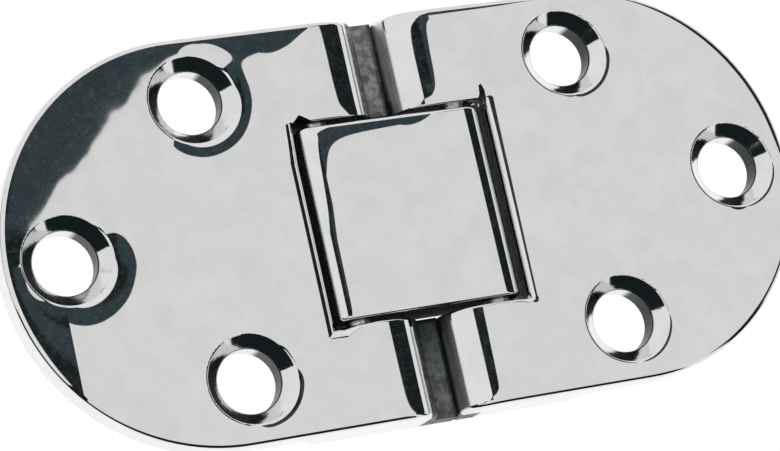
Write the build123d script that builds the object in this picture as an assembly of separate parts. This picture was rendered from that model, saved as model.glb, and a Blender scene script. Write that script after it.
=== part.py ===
from build123d import *
import math
import os

# Flush folding table hinge: two D-shaped leaves, a square link between them, two pivot pins.
# Frame: +X along the hinge to the right leaf, +Y across it, +Z up out of the table top.
# Origin: middle of the hinge, on the plane of the hubs' undersides. Millimetres.

# ---- outline ----
width = 30.0               # across the leaves, also the diameter of their round ends
length = 61.2              # over both round ends, leaves flat
end_r = width / 2
end_c = length / 2 - end_r  # centre of a round end

# ---- thickness ----
top = 4.4                  # polished face above the hub's underside
plate_t = 2.4              # leaf plate round the screws
hub_x = 10.0               # the thicker hub under the fingers runs out to here
hub_slope = 1.3            # length of the slope from hub to plate

# ---- inner ends of the fingers: a slow roll-off, then a round nose ----
soft_r = 10.0
soft_deg = 10.0
left_flat = 4.90           # the flat face ends here, from the middle
left_nose_r = 3.10
right_flat = 4.60
land_z = 2.0               # top of the left leaf's tongue, the bottom of the groove
butt_x = 0.88              # where tongue and right leaf butt, right of the middle
gap = 0.04                 # between them, flat
tongue_r = 0.14            # top edges of the tongue

# ---- window for the link ----
wall_x = 7.54              # end wall of the window, from the middle
wall_y = 7.60              # side walls
corner_r = 0.25            # plan radius in the window's corners

# edge radii of the end wall, finished by hand: at the +Y corner, along the wall, at the -Y
# corner and on its side wall; then (distance from the end wall, radius) of the run-out
left_rim = (0.60, 0.96, 0.85, ((0.55, 0.85), (1.45, 0.36), (3.0, 0.20)))
right_rim = (0.26, 0.32, 0.42, ((0.35, 0.42), (0.95, 0.28), (2.2, 0.20)))
rim_turn = 0.55            # plan radius of the rim's outline at the -Y corner

# file nicks at the window's +Y corners, in plan, and their depth
nick_deep = 1.6
left_nick = [(7.54, 7.4), (7.54, 7.66), (7.02, 8.16), (6.80, 8.05), (6.05, 7.58), (6.05, 7.4)]
right_nick = [(6.95, 7.4), (6.95, 7.62), (7.16, 7.95), (7.24, 8.62), (7.46, 8.72), (7.62, 8.25), (7.62, 7.4)]

# ---- link ----
link_y = 7.22              # half width
link_left = (5.95, 3.8)    # half length of its flat top, roll-off radius
link_right = (5.60, 2.5)
link_soft_deg = 10.0
link_half = 7.20           # half length overall
link_low = 0.15            # underside clear of the hubs' underside
link_low_r = 1.5

# ---- pivots ----
pin_x = 5.45
pin_drop = 1.60            # pin axis below the polished face
pin_r = 1.00
pin_run = 0.05             # running clearance in the link
pin_y0 = -11.50            # blind end
pin_y1 = 14.92             # driven end, just inside the leaf's side
bore_y0 = -11.60

# ---- countersunk screw holes ----
hole_r = 2.35
sink_r = 3.30              # at the polished face, 90 degree cone
screws = [(14.6, 10.3), (14.6, -10.3), (25.95, 0.0)]

# ---- edges ----
rim_r = 0.40               # outer edge of the polished face
under_r = 0.30             # outer edges underneath: plate, slope, hub and butt
finger_r = 0.18            # edges of the fingers beside the link
sink_edge = 0.22
link_edge = 0.26

pin_z = top - pin_drop


def arc(cx, cz, r, a0, a1, y=0.0):
    """Arc in the XZ plane about (cx, cz), angles in degrees from +X."""
    pts = [
        (cx + r * math.cos(math.radians(a)), y, cz + r * math.sin(math.radians(a)))
        for a in (a0, (a0 + a1) / 2, a1)
    ]
    return ThreePointArc(*pts)


def line(p, q, y=0.0):
    return Line((p[0], y, p[1]), (q[0], y, q[1]))


def prism(edges, y0, y1):
    """Solid between y0 and y1 with the closed XZ outline given by edges drawn at y = 0."""
    face = Face(Wire(edges))
    along = Vector(0, y1 - y0, 0)
    return Pos(0, y0, 0) * Solid.extrude(face, along)


def upright(points, z0, z1):
    """Prism between z0 and z1 with the given plan."""
    plan = Face(Polyline(*[(x, y, z0) for x, y in points], close=True).wire())
    return Solid.extrude(plan, Vector(0, 0, z1 - z0))


def rim_wire(r, place):
    """Closed outline of what an edge radius r takes off, put in space by place(n, z): n is out from the wall, z from the polished face."""
    a = math.radians(45)
    base, over = -corner_r - 0.05, 0.6
    edges = []
    for seg in (
        ((base, over), (r, over)),
        ((r, over), (r, 0.0)),
        ((r, 0.0), (r - r * math.cos(a), -r + r * math.sin(a)), (0.0, -r)),
        ((0.0, -r), (base, -r)),
        ((base, -r), (base, over)),
    ):
        pts = [place(n, top + z) for n, z in seg]
        edges.append(ThreePointArc(*pts) if len(pts) == 3 else Line(*pts))
    return Wire(edges)


def rim_cutter(rim):
    """Rounds the top edge of the end wall at +wall_x. It stops square at the +Y corner, turns the -Y corner and runs out along that side wall."""
    r_start, r_main, r_side, fade = rim

    def end(r, y):
        return rim_wire(r, lambda n, z: (wall_x + n, y, z))

    def side(r, x):
        return rim_wire(r, lambda n, z: (x, -wall_y - n, z))

    easing = 3.0
    tool = Solid.make_loft([end(r_start, wall_y), end(r_main, wall_y - easing)], ruled=True)
    tool = tool + Solid.extrude(
        Face(end(r_main, wall_y - easing)), Vector(0, easing - 2 * wall_y, 0)
    )
    # the corner: both edge radii meet in a mitre inside a rounded plan
    both = Solid.extrude(Face(end(r_main, -wall_y)), Vector(0, -r_side - 0.01, 0)) & Solid.extrude(
        Face(side(r_side, wall_x)), Vector(r_main + 0.01, 0, 0)
    )
    plan = Pos(wall_x + r_main - 2, -wall_y - r_side + 2, top - 2) * extrude(
        RectangleRounded(4, 4, rim_turn), 3
    )
    tool = tool + (both & plan)
    # along the side wall
    x0, r0 = wall_x, r_side
    for out, r in fade:
        x1 = wall_x - out
        if abs(r - r0) < 1e-6:
            piece = Solid.extrude(Face(side(r0, x0)), Vector(x1 - x0, 0, 0))
        else:
            piece = Solid.make_loft([side(r0, x0), side(r, x1)], ruled=True)
        tool = tool + piece
        x0, r0 = x1, r
    return tool


def is_upright(e):
    a, b = e.position_at(0.1), e.position_at(0.9)
    return abs(a.X - b.X) < 1e-3 and abs(a.Y - b.Y) < 1e-3


def on_top(e, flat_x):
    """True for an edge of the polished face, its round fingers included."""
    if is_upright(e):
        return False
    for t in (0.02, 0.5, 0.98):
        p = e.position_at(t)
        if p.Z < top - 1e-3 and p.X > flat_x + 1e-3:
            return False
        if p.X <= flat_x + 1e-3 and p.Z < 0.02:
            return False
    return True


def on_side(p):
    """True for a point on the leaf's outer side, straight or round."""
    out = abs(p.Y) if p.X <= end_c else math.hypot(p.X - end_c, p.Y)
    return abs(out - end_r) < 1e-3


def tongue(s):
    """The left leaf's half of the groove: a low step on one finger that reaches past the middle."""
    reach = butt_x - gap / 2
    y0, y1 = sorted((s * wall_y, s * end_r))
    block = Pos((1.9 - reach) / 2, (y0 + y1) / 2, land_z / 2) * Box(
        1.9 + reach, y1 - y0, land_z
    )
    def rim(z):
        """Edges at height z along the tongue's end and outer side."""
        found = []
        for e in block.edges():
            pts = [e.position_at(t) for t in (0.1, 0.9)]
            if any(abs(p.Z - z) > 1e-3 for p in pts):
                continue
            at_end = all(abs(p.X + reach) < 1e-3 for p in pts)
            at_side = all(abs(abs(p.Y) - end_r) < 1e-3 for p in pts)
            if at_end or at_side:
                found.append(e)
        return found

    block = chamfer(rim(0.0), under_r)
    return fillet(rim(land_z), tongue_r)


def leaf(flat_x, nose_r, rim, nick):
    """One leaf, drawn as the right-hand one."""
    plan = Pos(end_c, 0, 0) * extrude(Circle(end_r), top)
    plan = plan + Pos(end_c / 2, 0, 0) * extrude(Rectangle(end_c, width), top)

    # cross-section along X
    c1 = (flat_x, top - soft_r)
    a = math.radians(90 + soft_deg)
    p1 = (c1[0] + soft_r * math.cos(a), c1[1] + soft_r * math.sin(a))
    c2 = (p1[0] - nose_r * math.cos(a), p1[1] - nose_r * math.sin(a))
    p2 = (c2[0] - nose_r, c2[1])
    under = top - plate_t
    far = length / 2 + 1
    side = prism(
        [
            line((flat_x, top), (far, top)),
            line((far, top), (far, under)),
            line((far, under), (hub_x + hub_slope, under)),
            line((hub_x + hub_slope, under), (hub_x, 0)),
            line((hub_x, 0), (p2[0], 0)),
            line((p2[0], 0), p2),
            arc(*c2, nose_r, 180, 90 + soft_deg),
            arc(*c1, soft_r, 90 + soft_deg, 90),
        ],
        -width / 2 - 1,
        width / 2 + 1,
    )
    body = plan & side

    # outer edge of the polished face
    outer = [
        e
        for e in body.edges()
        if on_top(e, flat_x) and on_side(e.position_at(0.1)) and on_side(e.position_at(0.9))
    ]
    body = fillet(outer, rim_r)

    # outer edges underneath: plate, slope and hub, and the hub's edge at the butt
    lower = []
    for e in body.edges():
        pts = [e.position_at(t) for t in (0.1, 0.5, 0.9)]
        side_edge = all(p.Z < under + 1e-3 and on_side(p) for p in pts) and not is_upright(e)
        butt_edge = all(p.Z < 1e-3 and p.X < p2[0] + 1e-3 for p in pts)
        if side_edge or butt_edge:
            lower.append(e)
    body = chamfer(lower, under_r)

    # window
    window = Pos(wall_x - 10, 0, -1) * extrude(
        RectangleRounded(20, 2 * wall_y, corner_r), top + 2
    )
    body = body - window

    # softened edges of the fingers beside the link
    beside = [
        e
        for e in body.edges()
        if on_top(e, flat_x)
        and all(abs(abs(e.position_at(t).Y) - wall_y) < 1e-3 for t in (0.1, 0.9))
        and e.position_at(0.5).X < wall_x - corner_r + 1e-3
        and e.position_at(0.5).Z > top - nose_r
    ]
    body = fillet(beside, finger_r)
    body = body - rim_cutter(rim)
    body = body - upright(nick, top - nick_deep, top + 1)

    # screw holes
    for x, y in screws:
        body = body - Pos(x, y, top / 2) * Cylinder(hole_r, top + 2)
        depth = sink_r - hole_r
        body = body - Pos(x, y, top - depth / 2 + 0.005) * Cone(
            hole_r - 0.005, sink_r + 0.005, depth + 0.01
        )
    sinks = [
        e
        for e in body.edges()
        if abs(e.position_at(0.3).Z - top) < 1e-3
        and any(
            abs(math.hypot(e.position_at(0.3).X - x, e.position_at(0.3).Y - y) - sink_r)
            < 0.02
            for x, y in screws
        )
    ]
    body = fillet(sinks, sink_edge)

    # pivot bore, drilled from the +Y side, blind in the far finger
    body = body - Pos(pin_x, (bore_y0 + 20) / 2, pin_z) * Rot(90, 0, 0) * Cylinder(
        pin_r, 20 - bore_y0
    )
    return body


def link():
    def half(s, flat_x, soft):
        c1 = (s * flat_x, top - soft)
        k = link_soft_deg
        a = math.radians(90 - s * k)
        p1 = (c1[0] + soft * math.cos(a), c1[1] + soft * math.sin(a))
        r = (link_half - abs(p1[0])) / (1 - math.sin(math.radians(k)))
        c2 = (p1[0] - r * math.cos(a), p1[1] - r * math.sin(a))
        c3 = (s * (link_half - link_low_r), link_low + link_low_r)
        return c1, c2, c3, soft, r

    c1, c2, c3, ra, rb = half(1, *link_right)
    d1, d2, d3, rc, rd = half(-1, *link_left)
    k = link_soft_deg
    body = prism(
        [
            line(d1[:1] + (top,), c1[:1] + (top,)),
            arc(*c1, ra, 90, 90 - k),
            arc(*c2, rb, 90 - k, 0),
            line((link_half, c2[1]), (link_half, c3[1])),
            arc(*c3, link_low_r, 0, -90),
            line((c3[0], link_low), (d3[0], link_low)),
            arc(*d3, link_low_r, 270, 180),
            line((-link_half, d3[1]), (-link_half, d2[1])),
            arc(*d2, rd, 180, 90 + k),
            arc(*d1, rc, 90 + k, 90),
        ],
        -link_y,
        link_y,
    )
    # top edges along the fingers, round ends included
    edge = [
        e
        for e in body.edges()
        if all(abs(abs(e.position_at(t).Y) - link_y) < 1e-3 for t in (0.1, 0.9))
        and not is_upright(e)
        and e.position_at(0.5).Z > pin_z
    ]
    body = fillet(edge, link_edge)
    for s in (1, -1):
        body = body - Pos(s * pin_x, 0, pin_z) * Rot(90, 0, 0) * Cylinder(
            pin_r + pin_run, 2 * link_y + 4
        )
    return body


def pin(s):
    n = pin_y1 - pin_y0
    body = Pos(s * pin_x, (pin_y0 + pin_y1) / 2, pin_z) * Rot(90, 0, 0) * Cylinder(pin_r, n)
    rims = [e for e in body.edges() if e.geom_type == GeomType.CIRCLE]
    return chamfer(rims, 0.15)


# the right leaf's nose ends where it butts the tongue
soft_run = soft_r * math.sin(math.radians(soft_deg))
right_nose_r = (right_flat - soft_run - butt_x - gap / 2) / (1 - math.sin(math.radians(soft_deg)))

right_leaf = leaf(right_flat, right_nose_r, right_rim, right_nick)
left_leaf = leaf(left_flat, left_nose_r, left_rim, left_nick) + tongue(1) + tongue(-1)
left_leaf = left_leaf.mirror(Plane.YZ)
centre_link = link()
left_pin = pin(-1)
right_pin = pin(1)

os.makedirs("parts", exist_ok=True)
for name, shape in {
    "left_leaf": left_leaf,
    "right_leaf": right_leaf,
    "centre_link": centre_link,
    "left_pin": left_pin,
    "right_pin": right_pin,
}.items():
    found = shape.solids()
    export_step(found[0] if len(found) == 1 else Compound(children=found), f"parts/{name}.step")
    print(name, len(found), "solid", round(sum(s.volume for s in found), 2), "mm3")
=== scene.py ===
import math

import bpy
from mathutils import Matrix, Vector

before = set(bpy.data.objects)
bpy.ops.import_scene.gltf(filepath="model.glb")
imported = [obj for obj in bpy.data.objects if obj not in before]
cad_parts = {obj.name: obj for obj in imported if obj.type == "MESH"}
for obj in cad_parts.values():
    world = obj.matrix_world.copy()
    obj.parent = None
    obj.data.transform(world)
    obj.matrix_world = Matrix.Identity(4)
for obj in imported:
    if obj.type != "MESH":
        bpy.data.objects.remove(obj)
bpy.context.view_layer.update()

# The part's own measures, in millimetres, row frame.
TOP = 4.4
END_R = 15.0
END_C = 15.6
SINK_R = 3.3
HOLE_R = 2.35
HOLES = [(14.6, 10.3), (14.6, -10.3), (25.95, 0.0)]
WALL_X = 7.54
WALL_Y = 7.6
LINK_X = 7.2
LINK_Y = 7.22
BUTT_X = 0.88


# ---------------------------------------------------------------- node helpers
class Val:
    """A socket or a number, so that node maths reads as sums."""

    def __init__(self, net, s):
        self.net, self.s = net, s

    def _op(self, op, *others, swap=False):
        n = self.net.tree.nodes.new("ShaderNodeMath")
        n.operation = op
        args = [self, *others]
        if swap:
            args = args[::-1]
        for i, a in enumerate(args):
            self.net.put(a, n.inputs[i])
        return Val(self.net, n.outputs[0])

    def __add__(self, o): return self._op("ADD", o)
    def __radd__(self, o): return self._op("ADD", o)
    def __sub__(self, o): return self._op("SUBTRACT", o)
    def __rsub__(self, o): return self._op("SUBTRACT", o, swap=True)
    def __mul__(self, o): return self._op("MULTIPLY", o)
    def __rmul__(self, o): return self._op("MULTIPLY", o)
    def __truediv__(self, o): return self._op("DIVIDE", o)
    def __rtruediv__(self, o): return self._op("DIVIDE", o, swap=True)
    def __neg__(self): return self._op("MULTIPLY", -1.0)
    def abs(self): return self._op("ABSOLUTE")
    def sqrt(self): return self._op("SQRT")
    def exp(self): return self._op("EXPONENT")
    def max(self, o): return self._op("MAXIMUM", o)
    def min(self, o): return self._op("MINIMUM", o)
    def atan2(self, o): return self._op("ARCTAN2", o)

    def step(self, a, b):
        """0 at a, 1 at b, smooth between; b may be below a."""
        n = self.net.tree.nodes.new("ShaderNodeMapRange")
        n.interpolation_type = "SMOOTHSTEP"
        self.net.put(self, n.inputs["Value"])
        lo, hi, t0, t1 = (a, b, 0.0, 1.0) if a < b else (b, a, 1.0, 0.0)
        n.inputs["From Min"].default_value = lo
        n.inputs["From Max"].default_value = hi
        n.inputs["To Min"].default_value = t0
        n.inputs["To Max"].default_value = t1
        return Val(self.net, n.outputs["Result"])

    def band(self, a, b, soft):
        """1 between a and b."""
        return self.step(a - soft, a + soft) * self.step(b + soft, b - soft)

    def bump(self, centre, width):
        """A smooth hill of height 1."""
        d = (self - centre) / width
        return (-(d * d)).exp()


class Net:
    def __init__(self, tree):
        self.tree = tree
        tree.nodes.clear()

    def node(self, kind, **values):
        n = self.tree.nodes.new(kind)
        for k, v in values.items():
            if hasattr(n, k) and k not in [s.name for s in n.inputs]:
                setattr(n, k, v)
            else:
                self.put(v, n.inputs[k])
        return n

    def put(self, v, socket):
        if isinstance(v, Val):
            self.tree.links.new(v.s, socket)
        elif isinstance(v, bpy.types.NodeSocket):
            self.tree.links.new(v, socket)
        else:
            socket.default_value = v

    def xyz(self, socket):
        n = self.tree.nodes.new("ShaderNodeSeparateXYZ")
        self.put(socket, n.inputs[0])
        return [Val(self, s) for s in n.outputs]

    def vec(self, x, y, z):
        n = self.tree.nodes.new("ShaderNodeCombineXYZ")
        for v, s in zip((x, y, z), n.inputs):
            self.put(v, s)
        return n.outputs[0]

    def noise(self, vector, scale, detail=2.0, rough=0.5, distort=0.0, four=None):
        n = self.tree.nodes.new("ShaderNodeTexNoise")
        if four is not None:
            n.noise_dimensions = "4D"
            n.inputs["W"].default_value = four
        self.put(vector, n.inputs["Vector"])
        n.inputs["Scale"].default_value = scale
        n.inputs["Detail"].default_value = detail
        n.inputs["Roughness"].default_value = rough
        n.inputs["Distortion"].default_value = distort
        return Val(self, n.outputs[0])

    def mix_colour(self, fac, a, b):
        n = self.tree.nodes.new("ShaderNodeMix")
        n.data_type = "RGBA"
        self.put(fac, n.inputs["Factor"])
        for v, i in ((a, 6), (b, 7)):
            self.put(v if not isinstance(v, tuple) else (*v, 1.0), n.inputs[i])
        return n.outputs[2]

    def bump(self, height, strength=1.0, normal=None, distance=0.001):
        """Height in millimetres."""
        n = self.tree.nodes.new("ShaderNodeBump")
        n.inputs["Distance"].default_value = distance
        self.put(strength, n.inputs["Strength"])
        self.put(height, n.inputs["Height"])
        if normal is not None:
            self.put(normal, n.inputs["Normal"])
        return n.outputs[0]


# ---------------------------------------------------------------- polish
def falloff(distance, length):
    """1 at an edge, fading inwards over length, in mm; flat beyond the edge."""
    return (-(distance.max(0.0) / length)).exp()


def worn_leaf(px, py, side):
    """How far hand polishing lowered the flat face, in mm, and the distance in from the outline."""
    ax = px.abs()
    q = (ax - END_C).max(0.0)
    edge = END_R - (q * q + py * py).sqrt()
    # rolled off at the outline, more widely along the far side by the fingers
    if side < 0:
        h = falloff(edge, 0.40) * (py.step(-8.0, 3.0) * 0.208 - 0.278) * 0.40
        h = h - falloff(edge, 1.4) * ax.step(4.6, 9.0) * ax.step(15.0, 10.5) * py.step(8.0, 11.0) * (0.075 * 1.4)
        # rubbed lower beside the end screw
        reach = -26.75 + py.max(0.0) * -0.8
        h = h - (reach - px).max(0.0) * (py * -0.0015 + 0.037)
    else:
        h = falloff(edge, 0.30) * (-0.278 * 0.30)
        h = h - falloff(edge, 0.40) * ax.step(14.0, 8.0) * py.step(8.0, 11.0) * (0.08 * 0.40)
    # dragged out on one side of the screw holes by the wheel
    for i, (hx, hy) in enumerate(HOLES):
        dx, dy = px - side * hx, py - hy
        rho = (dx * dx + dy * dy).sqrt()
        toward = (dx - dy) / (rho * 1.4142)
        rim = falloff(rho - SINK_R, 0.40) * toward.step(0.30, 0.85) * (0.20 * 0.40)
        if side < 0 and i == 0:
            rim = falloff(rho - SINK_R, 0.53) * toward.step(-0.45, 0.2) * (0.167 * 0.53)
        if side < 0 and i == 2:
            rim = falloff(rho - SINK_R, 0.90) * toward.step(-0.9, 0.9) * (0.123 * 0.90)
        h = h - rim
    # rolled off round the window, by the distance from its rectangle
    out_x = (ax - WALL_X).max(0.0)
    out_y = (py.abs() - WALL_Y).max(0.0)
    away = (out_x * out_x + out_y * out_y).sqrt()
    far = py.step(5.5, 8.2)
    if side > 0:
        end = ax.step(5.6, 7.8)
        h = h - falloff(away, 0.45) * (0.30 * 0.45) * far.max(end)
    else:
        h = h - falloff(away, 0.50) * (0.24 * 0.50) * far
        h = h - falloff(away, 0.35) * (0.10 * 0.35) * py.step(-6.5, -8.0) * ax.step(4.6, 7.4)
    return h, edge


def worn_link(px, py):
    """The link's roll-off: along its far side, and strongest at the left far corner."""
    ex = LINK_X + px
    ey = LINK_Y - py
    far = falloff(ey, 1.0) * (1.0 - px.step(0.5, 4.2) * 0.85)
    left = falloff(ex, 1.0) * py.step(-1.5, 6.0)
    near = falloff(LINK_Y + py, 0.3)
    right = falloff(6.2 - px, 0.6)
    return far * -0.133 + left * -0.19 + near * (-0.06 * 0.3) + right * (-0.10 * 0.6)


def steel(name, side):
    """Polished cast stainless steel; side is -1 left leaf, 1 right leaf, 0 link."""
    m = bpy.data.materials.new(name)
    m.use_nodes = True
    net = Net(m.node_tree)
    tc = net.node("ShaderNodeTexCoord")
    mm = net.node("ShaderNodeVectorMath", operation="SCALE")
    net.put(tc.outputs["Object"], mm.inputs[0])
    mm.inputs["Scale"].default_value = 1000.0
    p = mm.outputs[0]
    px, py, pz = net.xyz(p)
    nx, ny, nz = net.xyz(tc.outputs["Normal"])
    ax, ay = px.abs(), py.abs()
    depth = TOP - pz

    face = nz.step(0.80, 0.97)           # looks up
    below = nz.step(-0.3, -0.7)          # looks down
    wall = nz.abs().step(0.35, 0.15)     # upright

    # slow undulation left by the polishing wheel
    wave = net.noise(p, 0.13, 1.0, 0.4, four=1.7 + side) - 0.5
    ripple = net.noise(p, 0.32, 1.0, 0.4, four=3.7 + side) - 0.5
    if side:
        worn, edge = worn_leaf(px, py, float(side))
        height = worn + wave * 0.012 + ripple * 0.0045
    else:
        height = worn_link(px, py) + wave * 0.008
        edge = (LINK_X - ax).min(LINK_Y - ay)
    normal = net.bump(height, strength=face)

    # cast skin the wheel did not reach, in the groove between the leaves
    wobble = net.noise(p, 0.9, 3.0, 0.6, four=4.0) - 0.5
    nothing = px * 0.0
    skin = bore = cone = shaded_gap_walls = bore_shade_side = nothing
    if side < 0:
        skin = (px + wobble * 0.22).step(-1.78, -1.64) * depth.step(0.45, 0.55)
    if side > 0:
        skin = (depth + wobble * 0.1).step(2.22, 2.36) * px.step(2.8, 2.4)
    if side:
        r2 = None
        for hx, hy in HOLES:
            dx, dy = px - side * hx, py - hy
            d = dx * dx + dy * dy
            r2 = d if r2 is None else r2.min(d)
            # painted shade: marks one side of each hole's bore for a near-black colour
            bore_shade_side = bore_shade_side.max((dx * 0.9 - dy * 0.45).step(-0.25, 0.35) * d.step(9.5, 9.0))
        rho = r2.sqrt()
        bore = rho.step(HOLE_R + 0.12, HOLE_R + 0.04)
        cone = rho.step(SINK_R + 0.05, SINK_R - 0.1) * nz.band(0.45, 0.92, 0.05)
        # walls of the gaps between the parts: rough cast, and painted dark as shade
        shaded_gap_walls = ax.step(WALL_X + 1.0, WALL_X + 0.9) * ay.step(8.9, 8.8) * wall
        if side > 0:
            shaded_gap_walls = shaded_gap_walls * (depth + wobble * 0.3).step(0.55, 0.75)
        else:
            shaded_gap_walls = (shaded_gap_walls * depth.step(0.10, 0.3)).max(ay.step(7.95, 7.80) * depth.step(1.2, 1.6) * ax.step(2.2, 1.9))
            shaded_gap_walls = shaded_gap_walls.max(depth.step(0.5, 0.8) * ax.step(8.6, 8.5) * ax.step(6.0, 6.3) * ay.step(8.9, 8.8) * (1.0 - below))
        outer_side = ay.step(14.6, 14.8).max(ax.step(15.6, 15.9)) * wall
        shaded_gap_walls = shaded_gap_walls * (1.0 - outer_side)
    else:
        # the link's side walls and deep underside, painted dark as shade
        shaded_gap_walls = (wall * depth.step(0.16, 0.34)).max(depth.step(3.5, 3.8) * nz.step(-0.9, -0.7))

    cast = net.noise(p, 1.6, 6.0, 0.62, distort=0.4, four=7.0)
    pits = net.noise(p, 5.5, 4.0, 0.65, four=2.0)
    cast_height = cast * 0.16 + pits * 0.035
    rough_cast = skin.max(below * 0.45).max(shaded_gap_walls * 0.5)
    normal = net.bump(cast_height, strength=rough_cast, normal=normal)

    # turning marks in the countersinks
    if side:
        rings = net.noise(net.vec(rho * 9.0, 0.0, 0.0), 1.0, 2.0, 0.6)
        chatter = net.noise(p, 1.4, 2.0, 0.5, four=9.0)
        normal = net.bump(rings * 0.002 + chatter * 0.006, strength=cone, normal=normal)

    # fine haze of hand scratches on the flat, and faint blotches
    stretch = net.node("ShaderNodeMapping")
    net.put(p, stretch.inputs["Vector"])
    stretch.inputs["Rotation"].default_value = (0.0, 0.0, 0.5)
    stretch.inputs["Scale"].default_value = (1.0, 7.0, 1.0)
    hair = net.noise(stretch.outputs[0], 1.3, 5.0, 0.7, four=3.0)
    mottle = net.noise(p, 0.75, 5.0, 0.62, four=6.0)
    speck = net.noise(p, 4.2, 3.0, 0.6, four=8.0)
    haze = (hair.step(0.42, 0.72) * 0.35 + mottle.step(0.35, 0.7) * 0.30 + speck.step(0.50, 0.64) * 0.80) * face

    tint = net.noise(p, 0.55, 5.0, 0.65, four=5.0)
    polished = net.mix_colour(tint.step(0.32, 0.68), (0.775, 0.785, 0.782), (0.845, 0.845, 0.836))
    rough_metal = net.mix_colour(cast.step(0.35, 0.66), (0.15, 0.155, 0.16), (0.42, 0.425, 0.42))
    # painted shade: the cast skin in the groove coloured near-black towards the link, where shade falls between the
    # parts
    groove_shade = py.step(-5.0, -7.6) * (0.40 + py.step(-13.0, -8.0) * 0.40)
    if side < 0:
        # painted shadow: a dark line along the butt line, where the gap between the leaves casts shade
        groove_shade = groove_shade.max((px + wobble * 0.30).step(0.30, 0.70) * (0.75 + py.step(14.0, 8.0) * 0.25))
    rough_metal = net.mix_colour(groove_shade, rough_metal, (0.02, 0.03, 0.032))
    colour = net.mix_colour(skin, polished, rough_metal)
    colour = net.mix_colour(below, colour, net.mix_colour(cast.step(0.35, 0.66), (0.50, 0.50, 0.49), (0.66, 0.66, 0.65)))
    # painted shade: one side of each bore coloured near-black, where the hole is shaded
    colour = net.mix_colour(bore * bore_shade_side, colour, (0.02, 0.025, 0.025))
    # painted shade: the gap walls get a dark colour, darkest on the left leaf and the link, where shade falls
    if side > 0:
        gap_shade_colour = net.mix_colour(cast.step(0.3, 0.7), (0.10, 0.105, 0.105), (0.30, 0.305, 0.305))
    else:
        gap_shade_colour = net.mix_colour(cast.step(0.3, 0.7), (0.012, 0.015, 0.015), (0.04, 0.045, 0.045))
    colour = net.mix_colour(shaded_gap_walls, colour, gap_shade_colour)

    rough = 0.012 + mottle * 0.010
    rough = rough + (0.07 - rough) * cone
    rough = rough + (0.30 - rough) * bore
    if side > 0:
        # the steep foot of the finger end, rubbed less than the rest
        foot = px.step(2.2, 1.5) * depth.step(0.9, 1.4)
        rough = rough + (0.34 - rough) * foot
    rough = rough + (0.50 - rough) * shaded_gap_walls
    rough = rough + (0.55 - rough) * skin
    rough = rough + ((0.38 + pits * 0.15) - rough) * below

    b = net.node("ShaderNodeBsdfPrincipled")
    b.inputs["Metallic"].default_value = 1.0
    net.put(colour, b.inputs["Base Color"])
    net.put(rough, b.inputs["Roughness"])
    net.put(normal, b.inputs["Normal"])

    hz = net.node("ShaderNodeBsdfPrincipled")
    hz.inputs["Metallic"].default_value = 1.0
    hz.inputs["Roughness"].default_value = 0.55
    hz.inputs["Base Color"].default_value = (0.80, 0.81, 0.81, 1.0)
    net.put(normal, hz.inputs["Normal"])
    mix = net.node("ShaderNodeMixShader")
    net.put(haze * 0.045, mix.inputs[0])
    net.put(b.outputs[0], mix.inputs[1])
    net.put(hz.outputs[0], mix.inputs[2])
    # painted shade: a dark matte layer mixed in deep in the gaps, where shade falls between the parts
    gap_shade_bsdf = net.node("ShaderNodeBsdfPrincipled")
    gap_shade_bsdf.inputs["Roughness"].default_value = 0.95
    gap_shade_bsdf.inputs["Specular IOR Level"].default_value = 0.05
    net.put(net.mix_colour(pits.step(0.3, 0.7), (0.012, 0.015, 0.015), (0.03, 0.033, 0.033)), gap_shade_bsdf.inputs["Base Color"])
    net.put(normal, gap_shade_bsdf.inputs["Normal"])
    gap_shade_mix = net.node("ShaderNodeMixShader")
    net.put(shaded_gap_walls * (0.25 if side > 0 else 0.65), gap_shade_mix.inputs[0])
    net.put(mix.outputs[0], gap_shade_mix.inputs[1])
    net.put(gap_shade_bsdf.outputs[0], gap_shade_mix.inputs[2])
    out = net.node("ShaderNodeOutputMaterial")
    net.put(gap_shade_mix.outputs[0], out.inputs["Surface"])
    return m


def pin_steel():
    m = bpy.data.materials.new("pin_steel_ground")
    m.use_nodes = True
    net = Net(m.node_tree)
    tc = net.node("ShaderNodeTexCoord")
    mm = net.node("ShaderNodeVectorMath", operation="SCALE")
    net.put(tc.outputs["Object"], mm.inputs[0])
    mm.inputs["Scale"].default_value = 1000.0
    p = mm.outputs[0]
    px, py, pz = net.xyz(p)
    lines = net.noise(net.vec(px * 0.4, py * 6.0, pz * 0.4), 1.0, 4.0, 0.7)
    spots = net.noise(p, 2.5, 3.0, 0.6)
    b = net.node("ShaderNodeBsdfPrincipled")
    b.inputs["Metallic"].default_value = 1.0
    net.put(net.mix_colour(spots.step(0.3, 0.7), (0.56, 0.57, 0.57), (0.70, 0.70, 0.69)), b.inputs["Base Color"])
    net.put(0.22 + lines * 0.2, b.inputs["Roughness"])
    net.put(net.bump(lines * 0.006 + spots * 0.012), b.inputs["Normal"])
    out = net.node("ShaderNodeOutputMaterial")
    net.put(b.outputs[0], out.inputs["Surface"])
    return m


mats = {
    "left_leaf": steel("leaf_steel_left", -1),
    "right_leaf": steel("leaf_steel_right", 1),
    "centre_link": steel("link_steel_polished", 0),
}
mats["left_pin"] = mats["right_pin"] = pin_steel()
for node, m in mats.items():
    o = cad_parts[node]
    for s in o.material_slots:
        s.material = m


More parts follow.
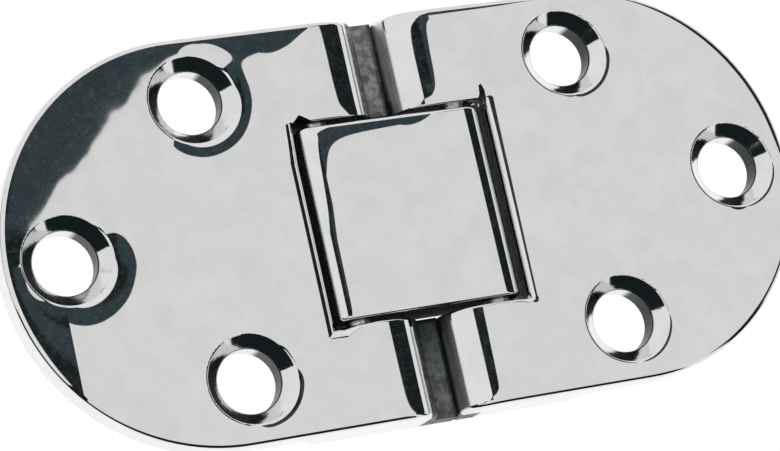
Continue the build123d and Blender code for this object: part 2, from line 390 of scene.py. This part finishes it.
# ---------------------------------------------------------------- stage
def floor():
    me = bpy.data.meshes.new("floor")
    s = 3.0
    me.from_pydata([(-s, -s, 0), (s, -s, 0), (s, s, 0), (-s, s, 0)], [], [(0, 1, 2, 3)])
    o = bpy.data.objects.new("floor", me)
    bpy.context.scene.collection.objects.link(o)
    o.location.z = -0.00005
    m = bpy.data.materials.new("pale_floor")
    m.use_nodes = True
    b = m.node_tree.nodes["Principled BSDF"]
    b.inputs["Base Color"].default_value = (0.22, 0.22, 0.22, 1.0)
    b.inputs["Roughness"].default_value = 1.0
    b.inputs["Specular IOR Level"].default_value = 0.0
    b.inputs["Emission Color"].default_value = (1.0, 1.0, 1.0, 1.0)
    b.inputs["Emission Strength"].default_value = 0.92
    me.materials.append(m)
    return o


floor()


# ---------------------------------------------------------------- light
def studio():
    """Soft boxes as seen from the part: one overhead to the right, a tall one behind and to the left, a low strip each side."""
    w = bpy.data.worlds.new("studio")
    bpy.context.scene.world = w
    w.use_nodes = True
    net = Net(w.node_tree)
    tc = net.node("ShaderNodeTexCoord")
    dx, dy, dz = net.xyz(tc.outputs["Generated"])
    up = dz.max(0.02)
    gx, gy = dx / up, dy / up
    el = dz                                        # sine of the elevation
    az = dy.atan2(dx) * (180.0 / math.pi)          # -180..180
    above = dz.step(0.0, 0.03)

    # overhead soft box: its left edge runs diagonally over the part, its right edge nearly along Y
    d = gx - gy
    overhead = d.step(0.0292, 0.0298) * (gx + gy * 0.35).step(0.76, 0.74) * gy.step(-1.20, -1.05) * above
    # tall box behind and to the left, down to ten degrees above the table
    low_end = dz.step(0.15, 0.19).max(dy.step(0.5, 0.7) * dz.step(0.02, 0.05))
    front_cut = gy.step(-0.9, -0.8) * (gy + 0.08).step(-0.04, 0.04).max(gx.step(-1.5, -1.3))
    back_left = (gx - gy * 1.13).step(-0.186, -0.194) * low_end * front_cut
    right_low = az.band(-20.0, 45.0, 2.0) * el.band(0.07, 0.34, 0.01)
    front_low = az.band(-52.0, -36.0, 2.0) * el.band(0.0, 0.62, 0.02)
    lit = overhead.max(back_left).max(right_low).max(front_low)

    # the unlit room: grey between the two boxes, nearly black elsewhere
    spill = gx.step(0.205, 0.245).max(gx.step(0.12, 0.15) * gy.band(0.175, 0.235, 0.01)).max(gy.step(0.31, 0.36)) * d.step(0.10, 0.09) * gy.step(-0.2, 0.1) * gx.step(0.75, 0.5) * above
    dark = net.mix_colour(spill, (0.008, 0.013, 0.014), (0.029, 0.046, 0.053))
    bright = net.mix_colour(overhead, (0.86, 0.86, 0.86), (0.79, 0.79, 0.785))
    seen = net.mix_colour(lit, dark, bright)

    lp = net.node("ShaderNodeLightPath")
    colour = net.mix_colour(lp.outputs["Is Camera Ray"], seen, (0.97, 0.97, 0.97))
    bg = net.node("ShaderNodeBackground")
    net.put(colour, bg.inputs["Color"])
    bg.inputs["Strength"].default_value = 1.0
    out = net.node("ShaderNodeOutputWorld")
    net.put(bg.outputs[0], out.inputs["Surface"])
    w.cycles.sampling_method = "MANUAL"
    w.cycles.sample_map_resolution = 1024


studio()


# ---------------------------------------------------------------- camera
def camera():
    d = bpy.data.cameras.new("camera")
    o = bpy.data.objects.new("camera", d)
    bpy.context.scene.collection.objects.link(o)
    d.sensor_fit = "HORIZONTAL"
    d.sensor_width = 36.0
    d.lens = 3146.8 / 780 * 36.0
    right = Vector((0.92492, -0.21637, 0.31258))
    up = Vector((0.13560, 0.95592, 0.26044))
    back = Vector((-0.35515, -0.19850, 0.91349))
    right.normalize()
    back = (back - right * back.dot(right)).normalized()
    up = back.cross(right)
    m = Matrix((right, up, back)).transposed().to_4x4()
    m.translation = Vector((-0.082456, -0.045829, 0.206905 + TOP / 1000))
    o.matrix_world = m
    d.clip_start, d.clip_end = 0.01, 20.0
    bpy.context.scene.camera = o


camera()

vs = bpy.context.scene.view_settings
vs.view_transform = "Standard"
vs.look = "None"
vs.exposure = 0.0
vs.gamma = 1.0
